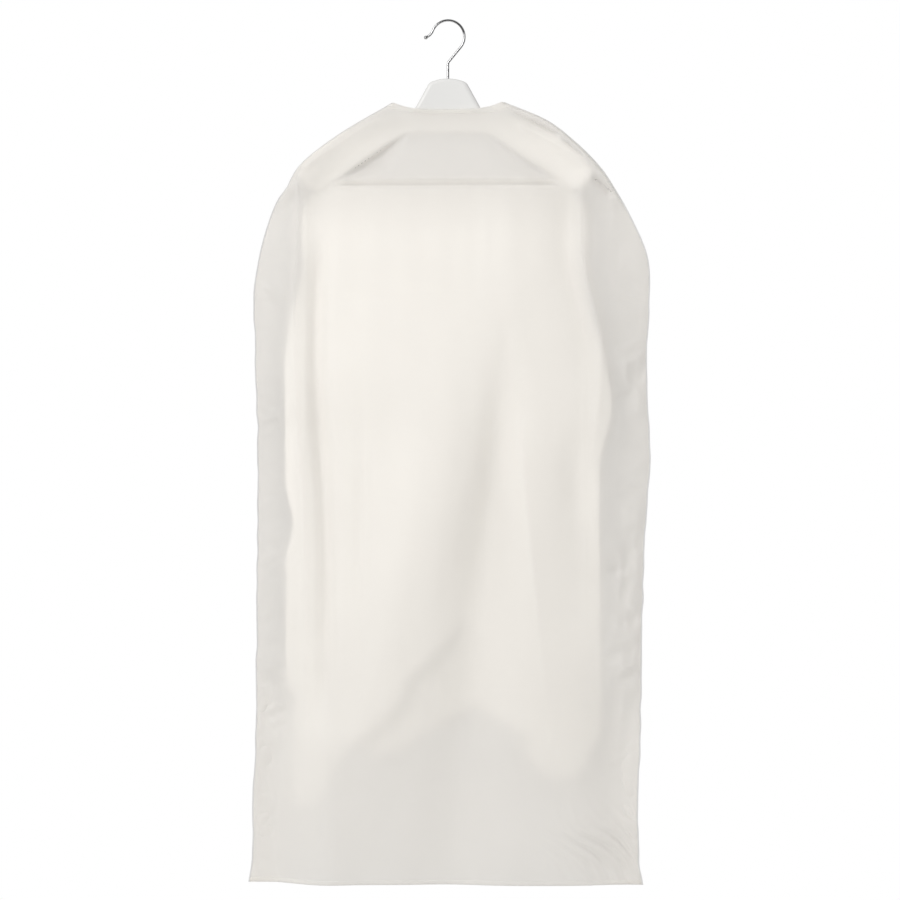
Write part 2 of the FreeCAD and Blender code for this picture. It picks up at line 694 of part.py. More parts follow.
def below_neck_edge(shape, drop):
    """Cuts the dipped neck opening into a shell, drop further down than the film's own edge."""
    low_point = size("neck_depth") + size("neck_sag") + drop
    reach = size("dome_radius")
    cutter = Part.makeCylinder(size("neck_sag_radius"), 2 * reach, FreeCAD.Vector(
        0, -reach, size("neck_sag_radius") - low_point), FreeCAD.Vector(0, 1, 0))
    return shape.cut(cutter)


def add_shape(name, shape):
    if shape.ShapeType == "Compound" and len(shape.Solids) == 1:
        shape = shape.Solids[0]
    piece = doc.addObject("Part::Feature", name)
    piece.Shape = shape
    piece.Label = name
    piece.Placement = FreeCAD.Placement()
    return piece


def make_film(name, side):
    shell = film_shell(side, size("seam_width") + size("film_gap"), size("film"), station_depths())
    return add_shape(name, below_neck_edge(shell, 0))


def hem_inset():
    return size("seam_width") + size("film") + 2 * size("film_gap")


def make_neck_hem(name, side):
    """The neck's turned-in edge: a band inside the film that follows the dipped opening."""
    shell = film_shell(side, hem_inset(), size("film"), station_depths())
    opened = below_neck_edge(shell, 0)
    rest = below_neck_edge(shell, size("hem_width"))
    return add_shape(name, opened.cut(rest))


def make_bottom_hem(name, side):
    depths = [size("hem_depth") - size("hem_width"), size("hem_depth")]
    return add_shape(name, film_shell(side, hem_inset(), size("film"), depths))


def make_side_seam(name, side):
    """The welded seam: a narrow band along the outline from the neck corner to the bottom edge."""
    half = size("seam_thickness") / 2
    sections = []
    for depth in station_depths():
        rim = side * half_width(depth, 0)
        weld = side * half_width(depth, size("seam_width"))
        middle = seam_y(depth)
        corners = [(rim, middle - half), (rim, middle + half), (weld, middle + half), (weld, middle - half)]
        points = [FreeCAD.Vector(x, y, -depth) for x, y in corners]
        sections.append(Part.makePolygon(points + points[:1]))
    return add_shape(name, Part.makeLoft(sections, True, False))


# --- the pieces --------------------------------------------------------------------------------

FRONT = -1
BACK = 1
LEFT = -1
RIGHT = 1

pieces = [
    make_hook(),
    make_nut(),
    make_hanger(),
    make_washer(),
    make_bar(),
    make_brads(),
    make_cloth(),
    make_film("cover_front_panel", FRONT),
    make_film("cover_back_panel", BACK),
    make_side_seam("left_edge_seam", LEFT),
    make_side_seam("right_edge_seam", RIGHT),
    make_neck_hem("neck_hem_front", FRONT),
    make_neck_hem("neck_hem_back", BACK),
    make_bottom_hem("bottom_hem_front", FRONT),
    make_bottom_hem("bottom_hem_back", BACK),
]
doc.recompute()

for item in doc.Objects:
    if "Invalid" in item.State or "Error" in item.State:
        raise RuntimeError(f"{item.Label} failed: {item.State}")
for piece in pieces:
    if piece.Shape.isNull() or not piece.Shape.isValid() or not piece.Shape.Solids:
        raise RuntimeError(f"{piece.Label} has no valid solid")

os.makedirs("parts", exist_ok=True)
for piece in pieces:
    piece.Shape.exportStep(f"parts/{piece.Label}.step")
    box = piece.Shape.BoundBox
    print(f"{piece.Label:20s} solids {len(piece.Shape.Solids)}  volume {piece.Shape.Volume:12.1f}"
          f"  x {box.XMin:8.2f} {box.XMax:8.2f}  y {box.YMin:7.2f} {box.YMax:7.2f}"
          f"  z {box.ZMin:9.2f} {box.ZMax:8.2f}")
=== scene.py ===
# A milky film garment cover on a white lacquered hanger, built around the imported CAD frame.
# Metres, +Z up, +X along the hanger, +Y towards the cover's back. Millimetre values carry MM.
import math

import bmesh
import bpy
import numpy as np
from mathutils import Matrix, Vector


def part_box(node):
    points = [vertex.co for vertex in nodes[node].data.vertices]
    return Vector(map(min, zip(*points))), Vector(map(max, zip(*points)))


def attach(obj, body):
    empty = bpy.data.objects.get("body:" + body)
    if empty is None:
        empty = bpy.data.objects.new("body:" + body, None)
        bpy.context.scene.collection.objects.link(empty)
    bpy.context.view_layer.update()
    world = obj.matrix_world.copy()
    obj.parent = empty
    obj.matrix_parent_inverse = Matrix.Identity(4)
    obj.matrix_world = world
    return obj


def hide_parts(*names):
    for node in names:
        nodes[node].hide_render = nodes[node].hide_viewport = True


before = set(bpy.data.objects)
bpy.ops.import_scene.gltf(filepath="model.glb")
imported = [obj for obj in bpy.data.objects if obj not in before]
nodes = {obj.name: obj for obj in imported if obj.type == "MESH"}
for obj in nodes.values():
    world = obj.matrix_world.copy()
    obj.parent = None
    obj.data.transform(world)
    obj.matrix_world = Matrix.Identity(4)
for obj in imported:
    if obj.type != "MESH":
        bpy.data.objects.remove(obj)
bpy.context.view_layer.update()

MM = 0.001

LEFT, RIGHT = -1, 1
FRONT, BACK = -1, 1

# --- sizes taken from the frame ----------------------------------------------------------------

seam_low, seam_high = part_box("right_edge_seam")
wood_low, wood_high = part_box("hanger_body")
bar_low, bar_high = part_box("trouser_bar")

NECK_Z = seam_high.z
HEM_Z = seam_low.z
LENGTH = NECK_Z - HEM_Z
HALF_WIDTH = seam_high.x
ARM_REACH = wood_high.x
ARM_TIP_Z = wood_low.z
BAR_Z = (bar_low.z + bar_high.z) / 2
BAR_Y = (bar_low.y + bar_high.y) / 2
BAR_RADIUS = (bar_high.z - bar_low.z) / 2
HUB_HALF = wood_high.y
FRONT_BOW = 608 * MM  # radii of the curves that the hanger's front and back faces follow
BACK_BOW = 786 * MM


# --- small maths -------------------------------------------------------------------------------

def smooth(edge_a, edge_b, value):
    part = np.clip((value - edge_a) / (edge_b - edge_a), 0, 1)
    return part * part * (3 - 2 * part)


def bump(value, centre, width):
    return np.exp(-((value - centre) / width) ** 2)


def ridge(value, centre, width):
    """A fold line: sharp at its crest, falling away on both sides."""
    return np.exp(-np.abs(value - centre) / width)


def curve_through(knots):
    """A smooth function through (place, value) knots, with no overshoot between level ones."""
    places = np.array([knot[0] for knot in knots], float)
    values = np.array([knot[1] for knot in knots], float)
    steps = np.diff(values) / np.diff(places)
    slopes = np.concatenate([steps[:1], (steps[:-1] + steps[1:]) / 2, steps[-1:]])
    turning = steps[:-1] * steps[1:] <= 0
    slopes[1:-1][turning] = 0

    def value_at(place):
        place = np.clip(place, places[0], places[-1])
        i = np.clip(np.searchsorted(places, place) - 1, 0, len(places) - 2)
        gap = places[i + 1] - places[i]
        t = (place - places[i]) / gap
        a = (1 + 2 * t) * (1 - t) ** 2
        b = t * (1 - t) ** 2
        c = t * t * (3 - 2 * t)
        d = t * t * (t - 1)
        return a * values[i] + b * gap * slopes[i] + c * values[i + 1] + d * gap * slopes[i + 1]

    return value_at


def lattice_noise(x, z, cell_x, cell_z, seed):
    """Smooth value noise between -1 and 1, the same every run; x or z may be a plain number."""
    rng = np.random.default_rng(seed)
    size = 64
    table = rng.uniform(-1, 1, (size, size))
    gx, gz = x / cell_x, z / cell_z
    ix, iz = np.floor(gx).astype(int), np.floor(gz).astype(int)
    fx, fz = gx - ix, gz - iz
    fx, fz = fx * fx * (3 - 2 * fx), fz * fz * (3 - 2 * fz)

    def corner(dx, dz):
        return table[(ix + dx) % size, (iz + dz) % size]

    low = corner(0, 0) * (1 - fx) + corner(1, 0) * fx
    high = corner(0, 1) * (1 - fx) + corner(1, 1) * fx
    return low * (1 - fz) + high * fz


def crumple(x, z, cell, seed):
    """Crossing sharp creases, as in pressed film: ridged noise turned three ways."""
    total = 0
    for turn in range(3):
        angle = math.radians(25 + 60 * turn)
        along = x * math.cos(angle) + z * math.sin(angle)
        across = -x * math.sin(angle) + z * math.cos(angle)
        wave = lattice_noise(along, across, cell * 2.2, cell, seed + turn)
        total = total + (1 - 2 * np.sqrt(wave ** 2 + 0.006)) * (0.75 ** turn)
    return total / 2.3


# --- cover outline and seam --------------------------------------------------------------------
# Outlines are shares of the cover: how far down from the neck corners, and how far out.

LEFT_OUTLINE = curve_through([
    (0, 0.282), (0.04, 0.543), (0.08, 0.738), (0.098, 0.785), (0.108, 0.804), (0.125, 0.852),
    (0.16, 0.908), (0.20, 0.950), (0.253, 0.979), (0.31, 0.972), (0.44, 0.961), (0.70, 0.965),
    (0.82, 0.969), (0.90, 0.986), (0.97, 0.991), (1, 1.008),
])
RIGHT_OUTLINE = curve_through([
    (0, 0.285), (0.022, 0.489), (0.054, 0.656), (0.087, 0.782), (0.106, 0.833), (0.15, 0.931),
    (0.20, 1.012), (0.25, 1.022), (0.31, 1.010), (0.38, 1.012), (0.458, 1.022), (0.52, 1.006),
    (0.66, 0.984), (0.82, 0.974), (0.90, 0.964), (0.97, 0.969), (1, 0.985),
])
SEAM_OUT = curve_through([
    (0, -3 * MM), (0.03, -12 * MM), (0.045, -17 * MM), (0.06, -22 * MM), (0.076, -26 * MM),
    (0.092, -28 * MM), (0.16, -25 * MM), (0.25, -20 * MM), (1, -16 * MM),
])
NECK_SAG = 10 * MM
NECK_SAG_FADE = 90 * MM
SEAM_WIDTH = 2.4 * MM
SEAM_THICK = 1.1 * MM
FILM_WALL = 0.35 * MM
EDGE_WOBBLE = 0.9 * MM
SEAM_WAVE = 3.5 * MM


def share_down(z):
    return (NECK_Z - z) / LENGTH


def edge_x(z, side):
    """Where the cover's outline lies at a height, with the slight crumpling of its edge."""
    down = share_down(z)
    outline = LEFT_OUTLINE if side == LEFT else RIGHT_OUTLINE
    wobble = EDGE_WOBBLE * lattice_noise(side, z, 1, 21 * MM, 11 + side) * smooth(0.2, 0.3, down)
    return side * (outline(down) * HALF_WIDTH + wobble)


def seam_y(z, side):
    """How far forward or back the side seam runs at a height."""
    down = share_down(z)
    wave = SEAM_WAVE * lattice_noise(3 * side, z, 1, 95 * MM, 23 + side)
    return SEAM_OUT(down) + wave * smooth(0.12, 0.3, down)


def wood_front(x):
    return -HUB_HALF - np.minimum(np.abs(x), ARM_REACH) ** 2 / (2 * FRONT_BOW)


def wood_back(x):
    return HUB_HALF - np.minimum(np.abs(x), ARM_REACH) ** 2 / (2 * BACK_BOW)


# --- film surface ------------------------------------------------------------------------------

COLUMNS = 160
ROWS = 340
WRAP = 4 * MM  # how far in from the edge the film takes to come round the wood
WOOD_GAP = 1.5 * MM
RIM_CLOSE = 1.2 * MM  # how far in from the seam the two films part
CALM_RIM = 12 * MM  # folds and crumples fade out over this strip beside the seam
DEPTH_FRONT = curve_through([
    (0, 8 * MM), (0.12, 20 * MM), (0.25, 35 * MM), (0.6, 40 * MM), (1, 41 * MM),
])
DEPTH_BACK = curve_through([
    (0, 12 * MM), (0.12, 36 * MM), (0.25, 44 * MM), (0.6, 42 * MM), (1, 40 * MM),
])
SPAN_FRONT = curve_through([(0, -11 * MM), (0.02, -12 * MM), (0.06, -22 * MM), (0.12, -43 * MM)])
SPAN_BACK = curve_through([(0, 11 * MM), (0.05, 11 * MM), (0.12, 10 * MM)])
QUARTERS = (0.25, 0.5, 0.75)


def soft_far(a, b, sharp=4 * MM):
    """The larger of two lengths, rounded where they meet."""
    return 0.5 * (a + b + np.sqrt((a - b) ** 2 + sharp ** 2))


def packing_folds(x, z, down):
    """Creases left by folding the cover flat for its packet: three across and two down."""
    total = 0
    for index, place in enumerate(QUARTERS):
        line = NECK_Z - place * LENGTH + 1.5 * MM * lattice_noise(x, 0, 70 * MM, 1, 31 + index)
        strength = 0.55 + 0.45 * lattice_noise(x, index, 55 * MM, 1, 41)
        strength = strength * (0.3 + 0.9 * smooth(0.72, 0.95, np.abs(x) / HALF_WIDTH))
        total = total + (2.2 * ridge(z, line, 2.4 * MM) - 1.2 * bump(z, line, 9 * MM)) * strength
    for place in (-0.71, 0.70):
        line = place * HALF_WIDTH + 3 * MM * lattice_noise(z, 0, 160 * MM, 1, 51)
        length = smooth(0.10, 0.14, down) * smooth(0.75, 0.5, down)
        total = total + 1.1 * ridge(x, line, 2.5 * MM) * length
    return total * MM


def hanging_folds(x, z, down):
    """Long soft folds that fall from the hanger's arm ends, and broad ones lower down."""
    left_line = -186 * MM - 6 * MM * smooth(0.1, 0.3, down) + 14 * MM * smooth(0.3, 0.6, down)
    from_left = 9 * ridge(x, left_line - 12 * MM, 12 * MM)
    from_left = from_left * smooth(0.085, 0.12, down) * smooth(0.95, 0.3, down)
    left_hollow = -13 * bump(x, left_line + 17 * MM, 12 * MM)
    left_hollow = left_hollow * smooth(0.15, 0.24, down) * smooth(0.85, 0.6, down)

    right_line = 184 * MM + 26 * MM * smooth(0.18, 0.32, down) - 14 * MM * smooth(0.33, 0.5, down)
    from_right = 10 * ridge(x, right_line, 11 * MM)
    from_right = from_right * smooth(0.085, 0.12, down) * smooth(0.6, 0.2, down)
    right_hollow = -6 * bump(x, right_line - 22 * MM, 14 * MM)
    right_hollow = right_hollow * smooth(0.1, 0.16, down) * smooth(0.4, 0.25, down)

    low = smooth(0.24, 0.5, down)
    spread = (down - 0.30) * LENGTH
    hollow_line = 84 * MM - 0.105 * spread
    hollow = -21 * bump(x, hollow_line, 17 * MM + 0.05 * spread) * low
    left_swell = 12 * bump(x, hollow_line - 70 * MM - 0.12 * spread, 46 * MM) * low
    crest = 88 * MM + 0.10 * spread
    right_swell = 10 * ridge(x, crest, 16 * MM + 0.03 * spread)
    right_swell = right_swell * smooth(0.38, 0.46, down) * smooth(0.9, 0.55, down)

    right_hollow_low = -12 * bump(x, 178 * MM, 28 * MM) * bump(down, 0.50, 0.075)
    patch = 10 * bump(x, 90 * MM, 42 * MM) * bump(down, 0.20, 0.09)
    low_left_swell = 14 * bump(x, -165 * MM, 34 * MM) * smooth(0.74, 0.84, down)
    low_left_hollow = -13 * bump(x, -232 * MM, 22 * MM) * smooth(0.70, 0.80, down)
    low_right_hollow = -10 * bump(x, 226 * MM, 30 * MM) * smooth(0.74, 0.84, down)
    faint = -5 * bump(x, -112 * MM, 9 * MM) * bump(down, 0.53, 0.12)
    return (from_left + left_hollow + from_right + right_hollow + hollow + left_swell + right_swell
            + right_hollow_low + patch + low_left_swell + low_left_hollow + low_right_hollow
            + faint) * MM


def edge_crumples(x, z, down, reach):
    """Small creases gathered near the side seams and the lower corners."""
    near_left = smooth(-0.80, -0.93, reach)
    near_right = smooth(0.78, 0.92, reach)
    left_zones = (0.4 + bump(down, 0.585, 0.03) * 0.6 + bump(down, 0.39, 0.025)
                  + bump(down, 0.25, 0.02) + 1.2 * bump(down, 0.79, 0.05))
    right_zones = (0.45 + bump(down, 0.34, 0.04) + 1.1 * bump(down, 0.62, 0.08)
                   + 1.2 * bump(down, 0.72, 0.03))
    fine = crumple(x, z, 17 * MM, 61)
    wide = crumple(x, z, 42 * MM, 71)
    corner = bump(down, 0.95, 0.05) * smooth(0.45, 0.85, reach)
    slant = (x + z * 0.9) / (26 * MM) + 0.6 * lattice_noise(x, z, 45 * MM, 45 * MM, 77)
    corner_folds = np.abs(np.mod(slant, 1) - 0.5) * 2
    sides = (near_left * left_zones + near_right * right_zones) * (3.4 * fine + 3.2 * wide)
    return (sides + 7 * corner * corner_folds) * MM


# Each wrinkle: start and end (x, z), half width and height, all in millimetres.
ARM_WRINKLES = [
    ((88, -122), (152, -153), 3.0, -11.0),
    ((160, -163), (186, -184), 3.0, -9.0),
    ((100, -142), (192, -192), 6.0, 3.0),
    ((150, -150), (214, -210), 3.5, 4.5),
    ((201, -215), (224, -233), 6.0, -16.0),
    ((-90, -128), (-188, -196), 6.0, 1.2),
]


def arm_folds(x, z):
    """Wrinkles along the arms, most of them where the film lifts off the right one."""
    total = 0
    for start, end, width, height in ARM_WRINKLES:
        ax, az = start
        bx, bz = end
        length = math.hypot(bx - ax, bz - az)
        along = ((x - ax * MM) * (bx - ax) + (z - az * MM) * (bz - az)) / length
        across = ((x - ax * MM) * (az - bz) + (z - az * MM) * (bx - ax)) / length
        fade = 6 * MM
        ends = smooth(-fade, fade, along) * smooth(length * MM + fade, length * MM - fade, along)
        total = total + height * ridge(across, 0, width * MM) * ends
    return total * MM


ARM_SLOPE = math.radians(34.6)
ARM_LOW_CORNER = (180.5 * MM, -236 * MM)


def tucks(x, z):
    """Hollows where the film is drawn in: under each arm, and level with the bar."""
    corner_x, corner_z = ARM_LOW_CORNER
    reach = np.abs(x)
    below = (corner_z - z) * math.cos(ARM_SLOPE) + (corner_x - reach) * math.sin(ARM_SLOPE)
    along = smooth(50 * MM, 90 * MM, reach) * smooth(186 * MM, 160 * MM, reach)
    above_bar = smooth(BAR_Z + 2 * MM, BAR_Z + 22 * MM, z)
    drawn_in = smooth(-1 * MM, 6 * MM, below) * smooth(40 * MM, 6 * MM, below)
    under_arm = -np.where(x < 0, 13, 7) * drawn_in * along * above_bar
    outside_tip = -6 * bump(x, -206 * MM, 9 * MM) * bump(z, -236 * MM, 14 * MM)
    at_bar = -8 * bump(z, BAR_Z - 2 * MM, 3 * MM) * smooth(154 * MM, 136 * MM, reach)
    return (under_arm + outside_tip + at_bar) * MM


def film_point(u, v, side, lift=0.0):
    """Points of a film; u runs from the left seam to the right one and v from neck to bottom."""
    level = NECK_Z - v * LENGTH
    left, right = edge_x(level, LEFT), edge_x(level, RIGHT)
    inset = 0.8 * SEAM_WIDTH
    x = left + inset + (right - left - 2 * inset) * u
    reach = 2 * u - 1
    neck_fade = smooth(NECK_SAG_FADE, 0, NECK_Z - level)
    z = level - NECK_SAG * (1 - np.abs(reach) ** 3.5) * neck_fade
    down = share_down(z)
    step = 2 * MM
    above_left, above_right = edge_x(level + step, LEFT), edge_x(level + step, RIGHT)
    lean = np.where(reach < 0, above_left - left, above_right - right) / step
    square_on = 1 / np.sqrt(1 + lean ** 2)
    inside = np.minimum(x - left, right - x) * square_on
    from_rim = inside - inset * square_on
    left_seam, right_seam = seam_y(level, LEFT), seam_y(level, RIGHT)
    seam = np.where(reach < 0, left_seam, right_seam)
    centre_seam = left_seam * (1 - u) + right_seam * u
    full = 1 - np.abs(reach) ** 2.6
    free = side * (DEPTH_FRONT(down) if side == FRONT else DEPTH_BACK(down)) * full + centre_seam
    middle = (wood_front(x) + wood_back(x)) / 2
    if side == FRONT:
        over_wood = -soft_far(-(wood_front(x) - WOOD_GAP), -SPAN_FRONT(down) * (1 - np.abs(reach) ** 6))
    else:
        over_wood = soft_far(wood_back(x) + WOOD_GAP, SPAN_BACK(down) * (1 - reach ** 2))
    around_edge = np.sqrt(1 - (1 - np.clip(inside / WRAP, 0, 1)) ** 2)
    wrapped = middle + (over_wood - middle) * around_edge
    held = smooth(ARM_TIP_Z - 34 * MM, ARM_TIP_Z + 16 * MM, z)
    y = free + (wrapped - free) * held
    calm = smooth(0, CALM_RIM, inside) * smooth(0, 4 * MM, NECK_Z - level + 1 * MM)
    detail = packing_folds(x, z, down) + edge_crumples(x, z, down, reach)
    if side == FRONT:
        detail = detail + hanging_folds(x, z, down) + arm_folds(x, z) + tucks(x, z)
    else:
        detail = detail + 0.6 * hanging_folds(-x, z, down)
    y = y + side * detail * calm
    y = seam + (y - seam) * np.sqrt(np.clip(from_rim / RIM_CLOSE, 0, 1))
    return x, y - side * lift, z


# --- mesh builders -----------------------------------------------------------------------------

def add_piece(name, vertices, faces, body, stands_for):
    """Makes a mesh piece, rides it on its body and hides the CAD nodes it stands for."""
    mesh = bpy.data.meshes.new(name)
    mesh.from_pydata([tuple(vertex) for vertex in vertices], [], faces)
    mesh.validate()
    work = bmesh.new()
    work.from_mesh(mesh)
    bmesh.ops.recalc_face_normals(work, faces=work.faces)
    work.to_mesh(mesh)
    work.free()
    mesh.shade_smooth()
    piece = bpy.data.objects.new(name, mesh)
    bpy.context.scene.collection.objects.link(piece)
    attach(piece, body)
    if stands_for:
        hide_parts(*stands_for)
    return piece


def shell_faces(rows, columns):
    """Faces of a closed sheet: an outer grid, an inner grid, and the strip that joins their rims."""
    inner = rows * columns
    faces = []
    for row in range(rows - 1):
        for column in range(columns - 1):
            a = row * columns + column
            quad = (a, a + 1, a + 1 + columns, a + columns)
            faces.append(quad)
            faces.append(tuple(inner + corner for corner in reversed(quad)))
    rim = list(range(columns))
    rim += [row * columns + columns - 1 for row in range(1, rows)]
    rim += [(rows - 1) * columns + column for column in range(columns - 2, -1, -1)]
    rim += [row * columns for row in range(rows - 2, 0, -1)]
    for here, after in zip(rim, rim[1:] + rim[:1]):
        faces.append((after, here, inner + here, inner + after))
    return faces


def closed_sheet(name, outer, inner, body, stands_for=()):
    rows, columns = outer[0].shape
    layers = [np.stack([axis.ravel() for axis in layer], axis=1) for layer in (outer, inner)]
    points, faces = np.concatenate(layers), shell_faces(rows, columns)
    return add_piece(name, points, faces, body, stands_for)


def tube_faces(stations, around):
    faces = []
    for station in range(stations - 1):
        for step in range(around):
            a = station * around + step
            b = station * around + (step + 1) % around
            faces.append((a, b, b + around, a + around))
    faces.append(tuple(range(around)))
    faces.append(tuple((stations - 1) * around + step for step in reversed(range(around))))
    return faces


# --- cover -------------------------------------------------------------------------------------

HEM_WIDTH = 6 * MM
HEM_WALL = 0.7 * MM
HEM_TICK_X = -85 * MM


def film_grid(first_v, last_v, rows, columns=COLUMNS):
    across = np.linspace(-1, 1, columns)
    across = np.sign(across) * (1 - (1 - np.abs(across)) ** 1.25)
    u, v = np.meshgrid((across + 1) / 2, np.linspace(first_v, last_v, rows))
    return u, v


def build_film(name, side, node):
    u, v = film_grid(0, 1, ROWS)
    outer, inner = film_point(u, v, side), film_point(u, v, side, FILM_WALL)
    return closed_sheet(name, outer, inner, "cover", [node])


def build_hem(name, side, node, first_v, last_v):
    """A turned-in and welded edge: a slightly thicker band over the film, with one weld overlap."""
    u, v = film_grid(first_v, last_v, 7)
    x, y, z = film_point(u, v, side)
    across = (v - first_v) / (last_v - first_v)
    plump = HEM_WALL * (0.35 + 0.65 * np.sqrt(np.clip(4 * across * (1 - across), 0, 1)))
    plump = plump + 0.6 * MM * bump(x, HEM_TICK_X, 1.2 * MM)
    outer = (x, y + side * plump, z)
    inner = film_point(u, v, side, FILM_WALL + 0.15 * MM)
    return closed_sheet(name, outer, inner, "cover", [node])


def build_side_seam(name, side, node):
    stations, around = 620, 10
    z = np.linspace(NECK_Z, HEM_Z, stations)
    path = np.stack([edge_x(z, side), seam_y(z, side), z], axis=1)
    along = np.gradient(path, axis=0)
    along /= np.linalg.norm(along, axis=1)[:, None]
    outward = np.cross(along, np.array([0.0, -side, 0.0]))
    outward[:, 1] = 0
    outward /= np.linalg.norm(outward, axis=1)[:, None]
    outward *= np.sign((outward * np.array([side, 0, 0.2])).sum(axis=1))[:, None]
    flat = np.array([0.0, 1.0, 0.0])
    centre = path - outward * SEAM_WIDTH / 2
    points = []
    for station in range(stations):
        for step in range(around):
            turn = 2 * math.pi * step / around
            thick = SEAM_THICK / 2 * math.sin(turn)
            wide = SEAM_WIDTH / 2 * math.cos(turn)
            points.append(centre[station] + outward[station] * wide + flat * thick)
    return add_piece(name, points, tube_faces(stations, around), "cover", [node])


# --- hanging cloth -----------------------------------------------------------------------------

CLOTH_LEFT = curve_through([
    (-1.00, -205), (-0.914, -203), (-0.887, -216), (-0.725, -216), (-0.678, -206), (-0.617, -217),
    (-0.470, -217), (-0.400, -208), (-0.335, -194), (-0.245, -190), (-0.222, -170), (-0.205, -160),
])
CLOTH_RIGHT = curve_through([
    (-1.00, 205), (-0.900, 207), (-0.750, 206), (-0.600, 206), (-0.520, 222), (-0.456, 212),
    (-0.340, 187), (-0.245, 184), (-0.222, 168), (-0.205, 160),
])
CLOTH_HEMS = {
    FRONT: curve_through([
        (-0.215, -1.000), (-0.195, -1.060), (-0.170, -1.050), (-0.145, -0.995), (-0.118, -0.965),
        (-0.085, -0.940), (-0.045, -0.885), (-0.010, -0.850), (0.025, -0.800), (0.050, -0.740),
        (0.064, -0.715), (0.076, -0.760), (0.088, -0.850), (0.102, -0.960), (0.130, -1.010),
        (0.165, -1.020), (0.205, -0.960),
    ]),
    BACK: curve_through([
        (-0.215, -0.920), (-0.150, -0.965), (-0.080, -0.985), (-0.020, -0.950), (0.040, -0.925),
        (0.100, -0.960), (0.160, -0.975), (0.205, -0.930),
    ]),
}
CLOTH_WALL = 0.8 * MM
CLOTH_ROWS, CLOTH_COLUMNS = 200, 150
CLOTH_LENGTH = 0.7
CLOTH_OFF_BAR = 1.4 * MM
CLOTH_OFF_FILM = 2.5 * MM
PLEATS = 8.5
TURNS_OVER_BAR = 9


def cloth_drop(side):
    """One hanging half of the cloth, from the bar down, pleated where it is bunched on the bar."""
    t, down = np.meshgrid(np.linspace(0, 1, CLOTH_COLUMNS), np.linspace(0, 1, CLOTH_ROWS))
    guess = BAR_Z - down * CLOTH_LENGTH
    x = (CLOTH_LEFT(guess) * (1 - t) + CLOTH_RIGHT(guess) * t) * MM
    end = CLOTH_HEMS[side](x)
    z = BAR_Z + (end - BAR_Z) * down
    x = (CLOTH_LEFT(z) * (1 - t) + CLOTH_RIGHT(z) * t) * MM
    fall = (BAR_Z - z) / CLOTH_LENGTH
    pleat = np.sin(2 * math.pi * (PLEATS * t + 0.7 * lattice_noise(t, z, 0.25, 0.3, 81)))
    slow = lattice_noise(x, z, 90 * MM, 260 * MM, 91 + side)
    depth = (2.2 * pleat * (1 - 0.55 * smooth(0, 0.5, fall)) + 6 * slow * smooth(0, 0.25, fall)) * MM
    if side == FRONT:
        depth = depth + front_cloth_folds(x, z, end)
    away = BAR_RADIUS + CLOTH_OFF_BAR + (3.4 * MM if side == FRONT else 16 * MM) * smooth(0, 0.4, fall)
    y = BAR_Y + side * away + depth
    left, right = edge_x(z, LEFT), edge_x(z, RIGHT)
    film_y = film_point((x - left) / (right - left), share_down(z), side)[1]
    room = film_y - side * CLOTH_OFF_FILM
    return x, side * -soft_far(-side * y, -side * room, 2 * MM), z


def front_cloth_folds(x, z, end):
    """How far back the front half lies: in its long hollow, its lower right, and near its edge."""
    below = BAR_Z - z - 260 * MM
    split_x = 80 * MM - 0.10 * below
    split = bump(x, split_x, 14 * MM + 0.11 * np.abs(below)) * smooth(0, 200 * MM, below)
    right_dip = bump(x, 182 * MM, 32 * MM) * bump(z, -770 * MM, 70 * MM)
    swell = bump(x, split_x - 75 * MM, 48 * MM) + 0.7 * bump(x, split_x + 55 * MM, 30 * MM)
    swell = swell * smooth(0, 160 * MM, below)
    hem_back = smooth(190 * MM, 10 * MM, z - end)
    return (22 * split + 14 * right_dip - 8 * swell + 24 * hem_back) * MM


def build_cloth():
    front, back = cloth_drop(FRONT), cloth_drop(BACK)
    over = []
    for step in range(1, TURNS_OVER_BAR):
        angle = math.pi * step / TURNS_OVER_BAR
        x = front[0][0] + (back[0][0] - front[0][0]) * step / TURNS_OVER_BAR
        reach = BAR_Y - front[1][0] if math.cos(angle) > 0 else back[1][0] - BAR_Y
        rise = (BAR_RADIUS + CLOTH_OFF_BAR) * math.sin(angle)
        over.append((x, BAR_Y - reach * math.cos(angle), np.full_like(x, BAR_Z + rise)))
    middle = [np.array([row[axis] for row in over]) for axis in range(3)]
    outer = [np.concatenate([front[axis][::-1], middle[axis], back[axis]]) for axis in range(3)]
    down_y, down_z = np.gradient(outer[1], axis=0), np.gradient(outer[2], axis=0)
    length = np.sqrt(down_y ** 2 + down_z ** 2) + 1e-9
    inner = (outer[0], outer[1] + CLOTH_WALL * down_z / length, outer[2] - CLOTH_WALL * down_y / length)
    return closed_sheet("hanging_cloth", outer, inner, "hanger", ["hanging_sheet"])


# --- materials ---------------------------------------------------------------------------------

BLUR_ROUGHNESS = 0.8
FILM_IOR = 1.4
FILM_GLOW_SHARE = 0.5
FILM_BLUR_SHARE = 0.8
MOST_OPAQUE = 0.97


